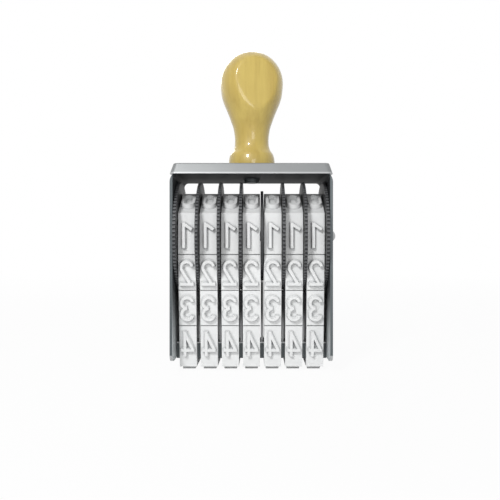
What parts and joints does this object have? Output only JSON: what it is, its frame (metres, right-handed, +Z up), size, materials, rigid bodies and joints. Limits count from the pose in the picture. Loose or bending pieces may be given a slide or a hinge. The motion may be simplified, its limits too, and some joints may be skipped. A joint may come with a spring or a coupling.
{
  "type": "numbering stamp",
  "caption": "Hand numbering stamp with rubber digit bands on thumb wheels, a bent steel frame and a turned wooden handle.",
  "frame": {"origin": "in the plane of the printing digits, under the middle of the middle band", "axes": "+X along the axle to the right, -Y to the front, +Z up the handle"},
  "size_m": [0.0614, 0.041, 0.1207],
  "materials": {
    "steel": "satin",
    "cap_metal": "satin",
    "wood": "lacquered",
    "rubber": "matte",
    "black_plastic": "satin",
    "dark_metal": "satin"
  },
  "bodies": {
    "root": {"frame": "steel", "top_cap": "cap_metal", "handle": "wood", "handle_screw": "dark_metal", "axle": "steel", "centre_spacer": "black_plastic", "printing_bridge": "dark_metal", "digit_band_1": "rubber", "digit_band_2": "rubber", "digit_band_3": "rubber", "digit_band_4": "rubber", "digit_band_5": "rubber", "digit_band_6": "rubber", "digit_band_7": "rubber", "band_divider_1": "dark_metal", "band_divider_2": "dark_metal", "band_divider_3": "dark_metal", "band_divider_4": "dark_metal", "band_divider_5": "dark_metal", "band_divider_6": "dark_metal"},
    "wheel_1": {"drum_1": "black_plastic", "thumb_disc_1": "black_plastic"},
    "wheel_2": {"drum_2": "black_plastic", "thumb_disc_2": "black_plastic"},
    "wheel_3": {"drum_3": "black_plastic", "thumb_disc_3": "black_plastic"},
    "wheel_4": {"drum_4": "black_plastic", "thumb_disc_4": "black_plastic"},
    "wheel_5": {"drum_5": "black_plastic", "thumb_disc_5": "black_plastic"},
    "wheel_6": {"drum_6": "black_plastic", "thumb_disc_6": "black_plastic"},
    "wheel_7": {"drum_7": "black_plastic", "thumb_disc_7": "black_plastic"}
  },
  "joints": [
    {"name": "wheel_1_turn", "type": "hinge", "parent": "root", "child": "wheel_1", "pos_m": [0, 0, 0.0501], "axis": [1, 0, 0], "continuous": true},
    {"name": "wheel_2_turn", "type": "hinge", "parent": "root", "child": "wheel_2", "pos_m": [0, 0, 0.0501], "axis": [1, 0, 0], "continuous": true},
    {"name": "wheel_3_turn", "type": "hinge", "parent": "root", "child": "wheel_3", "pos_m": [0, 0, 0.0501], "axis": [1, 0, 0], "continuous": true},
    {"name": "wheel_4_turn", "type": "hinge", "parent": "root", "child": "wheel_4", "pos_m": [0, 0, 0.0501], "axis": [1, 0, 0], "continuous": true},
    {"name": "wheel_5_turn", "type": "hinge", "parent": "root", "child": "wheel_5", "pos_m": [0, 0, 0.0501], "axis": [1, 0, 0], "continuous": true},
    {"name": "wheel_6_turn", "type": "hinge", "parent": "root", "child": "wheel_6", "pos_m": [0, 0, 0.0501], "axis": [1, 0, 0], "continuous": true},
    {"name": "wheel_7_turn", "type": "hinge", "parent": "root", "child": "wheel_7", "pos_m": [0, 0, 0.0501], "axis": [1, 0, 0], "continuous": true}
  ]
}
